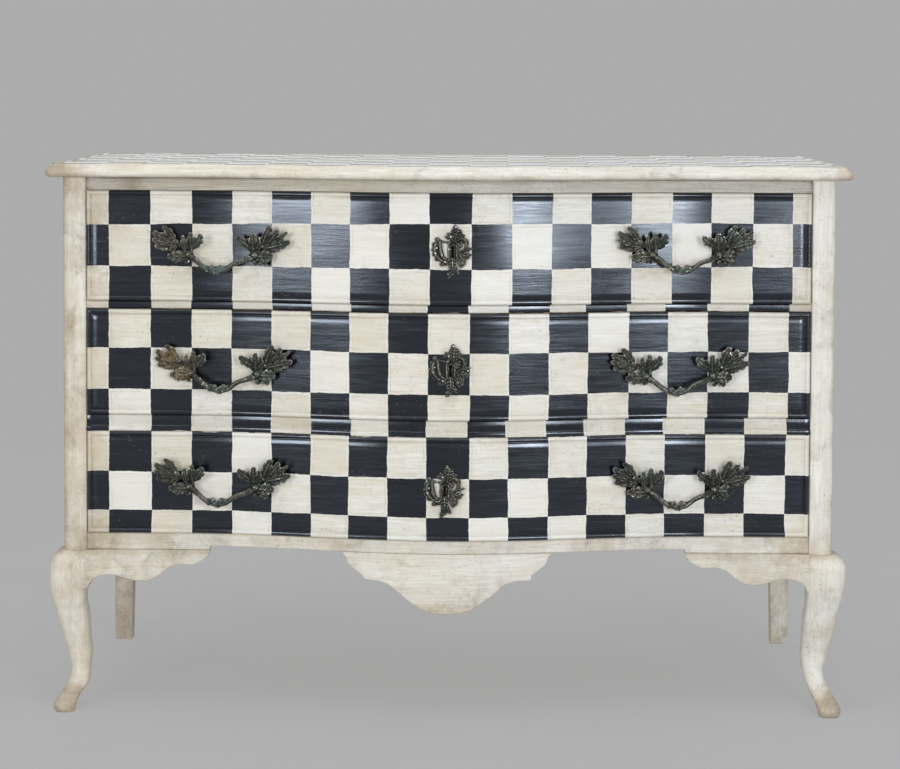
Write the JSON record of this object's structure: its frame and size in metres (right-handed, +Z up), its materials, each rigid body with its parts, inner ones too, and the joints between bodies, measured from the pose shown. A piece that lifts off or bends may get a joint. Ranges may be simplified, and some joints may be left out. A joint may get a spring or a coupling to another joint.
{
  "type": "chest of drawers",
  "caption": "Serpentine-fronted painted commode with sliding lockable drawers, cast leaf handles, shaped apron and cabriole front legs.",
  "frame": {"origin": "on the floor, under the middle of the chest's overall box", "axes": "+X to the right along the width as seen from the front, +Y from the drawers to the back, +Z up"},
  "size_m": [1.28, 0.63, 0.8746],
  "materials": {
    "cream_paint": "aged hand-painted cream with rubbed brown grime",
    "checked_paint": "hand-painted checks of cream and blue-black, satin",
    "bare_pine": "plain unpainted softwood",
    "dark_bronze": "dark patinated cast bronze, rubbed brighter on its edges",
    "lock_iron": "dull iron"
  },
  "bodies": {
    "case": {"top": "checked_paint", "top_front_rail": "cream_paint", "upper_drawer_rail": "checked_paint", "lower_drawer_rail": "checked_paint", "bottom_front_rail": "cream_paint", "top_rear_rail": "bare_pine", "left_front_post": "cream_paint", "right_front_post": "cream_paint", "left_rear_stile": "cream_paint", "right_rear_stile": "cream_paint", "left_side_panel": "cream_paint", "right_side_panel": "cream_paint", "lower_back_board": "bare_pine", "upper_back_board": "bare_pine", "left_front_leg": "cream_paint", "right_front_leg": "cream_paint", "left_rear_leg": "cream_paint", "right_rear_leg": "cream_paint", "left_apron_bracket": "cream_paint", "right_apron_bracket": "cream_paint", "centre_apron_pendant": "cream_paint", "left_side_apron": "cream_paint", "right_side_apron": "cream_paint", "rear_apron": "cream_paint", "lower_left_runner": "bare_pine", "lower_right_runner": "bare_pine", "middle_left_runner": "bare_pine", "middle_right_runner": "bare_pine", "upper_left_runner": "bare_pine", "upper_right_runner": "bare_pine"},
    "lower_drawer": {"lower_drawer_front": "checked_paint", "lower_drawer_left_side": "bare_pine", "lower_drawer_right_side": "bare_pine", "lower_drawer_back": "bare_pine", "lower_drawer_bottom": "bare_pine", "lower_left_handle": "dark_bronze", "lower_right_handle": "dark_bronze", "lower_escutcheon": "dark_bronze", "lower_lock_case": "lock_iron"},
    "middle_drawer": {"middle_drawer_front": "checked_paint", "middle_drawer_left_side": "bare_pine", "middle_drawer_right_side": "bare_pine", "middle_drawer_back": "bare_pine", "middle_drawer_bottom": "bare_pine", "middle_left_handle": "dark_bronze", "middle_right_handle": "dark_bronze", "middle_escutcheon": "dark_bronze", "middle_lock_case": "lock_iron"},
    "upper_drawer": {"upper_drawer_front": "checked_paint", "upper_drawer_left_side": "bare_pine", "upper_drawer_right_side": "bare_pine", "upper_drawer_back": "bare_pine", "upper_drawer_bottom": "bare_pine", "upper_left_handle": "dark_bronze", "upper_right_handle": "dark_bronze", "upper_escutcheon": "dark_bronze", "upper_lock_case": "lock_iron"},
    "lower_bolt": {"lower_lock_bolt": "lock_iron"},
    "middle_bolt": {"middle_lock_bolt": "lock_iron"},
    "upper_bolt": {"upper_lock_bolt": "lock_iron"}
  },
  "joints": [
    {"name": "lower_drawer_slide", "type": "slide", "parent": "case", "child": "lower_drawer", "axis": [0, -1, 0], "range_m": [0, 0.35]},
    {"name": "middle_drawer_slide", "type": "slide", "parent": "case", "child": "middle_drawer", "axis": [0, -1, 0], "range_m": [0, 0.35]},
    {"name": "upper_drawer_slide", "type": "slide", "parent": "case", "child": "upper_drawer", "axis": [0, -1, 0], "range_m": [0, 0.35]},
    {"name": "lower_bolt_throw", "type": "slide", "parent": "lower_drawer", "child": "lower_bolt", "axis": [0, 0, 1], "range_m": [0, 0.0065]},
    {"name": "middle_bolt_throw", "type": "slide", "parent": "middle_drawer", "child": "middle_bolt", "axis": [0, 0, 1], "range_m": [0, 0.0065]},
    {"name": "upper_bolt_throw", "type": "slide", "parent": "upper_drawer", "child": "upper_bolt", "axis": [0, 0, 1], "range_m": [0, 0.0065]}
  ]
}
